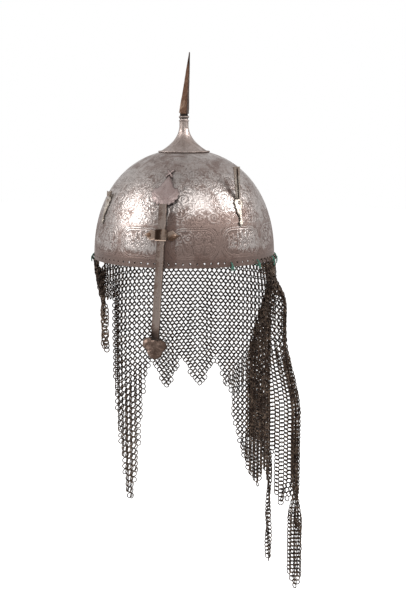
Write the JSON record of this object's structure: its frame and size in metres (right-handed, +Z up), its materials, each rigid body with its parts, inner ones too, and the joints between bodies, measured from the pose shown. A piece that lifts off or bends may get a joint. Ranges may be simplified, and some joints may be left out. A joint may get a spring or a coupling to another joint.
{
  "type": "kulah khud helmet",
  "caption": "Steel skull cap with a four-sided spike, a nose guard that slides in a riveted bracket, plume holders and a dagged curtain of mail.",
  "frame": {"origin": "centre of the head opening, in the plane of the bowl's rim", "axes": "+Z up towards the spike, -Y towards the face and the nose guard, +X to the right of someone who looks at the helmet's front"},
  "size_m": [0.2526, 0.2371, 0.6422],
  "materials": {
    "bowl_steel": "engraved old steel, worn bright in places, brown and pitted near the rim",
    "finial_steel": "brown patina with worn edges",
    "spike_iron": "rusty iron",
    "guard_steel": "brown-grey steel with worn bevels",
    "bracket_steel": "golden-brown rust over steel",
    "holder_steel": "worn steel",
    "mail_iron": "dark brown iron wire",
    "tie_thread": "green twisted thread"
  },
  "bodies": {
    "helmet": {"bowl": "bowl_steel", "spike_base": "finial_steel", "spike_collar": "finial_steel", "spike": "spike_iron", "spike_rove": "finial_steel", "nasal_bracket": "bracket_steel", "bracket_rivets": "bracket_steel", "plume_holder_right": "holder_steel", "plume_holder_left": "holder_steel", "plume_rivets": "holder_steel", "hanging_rings": "mail_iron", "rim_ties": "tie_thread", "mail_left": "mail_iron", "mail_back_left": "mail_iron", "mail_back": "mail_iron", "mail_right_rear": "mail_iron", "mail_right_front": "mail_iron"},
    "nose_guard": {"nasal": "guard_steel"}
  },
  "joints": [
    {"name": "guard_slide", "type": "slide", "parent": "helmet", "child": "nose_guard", "axis": [0.0175, 0.1887, 0.9819], "range_m": [0, 0.103]}
  ]
}
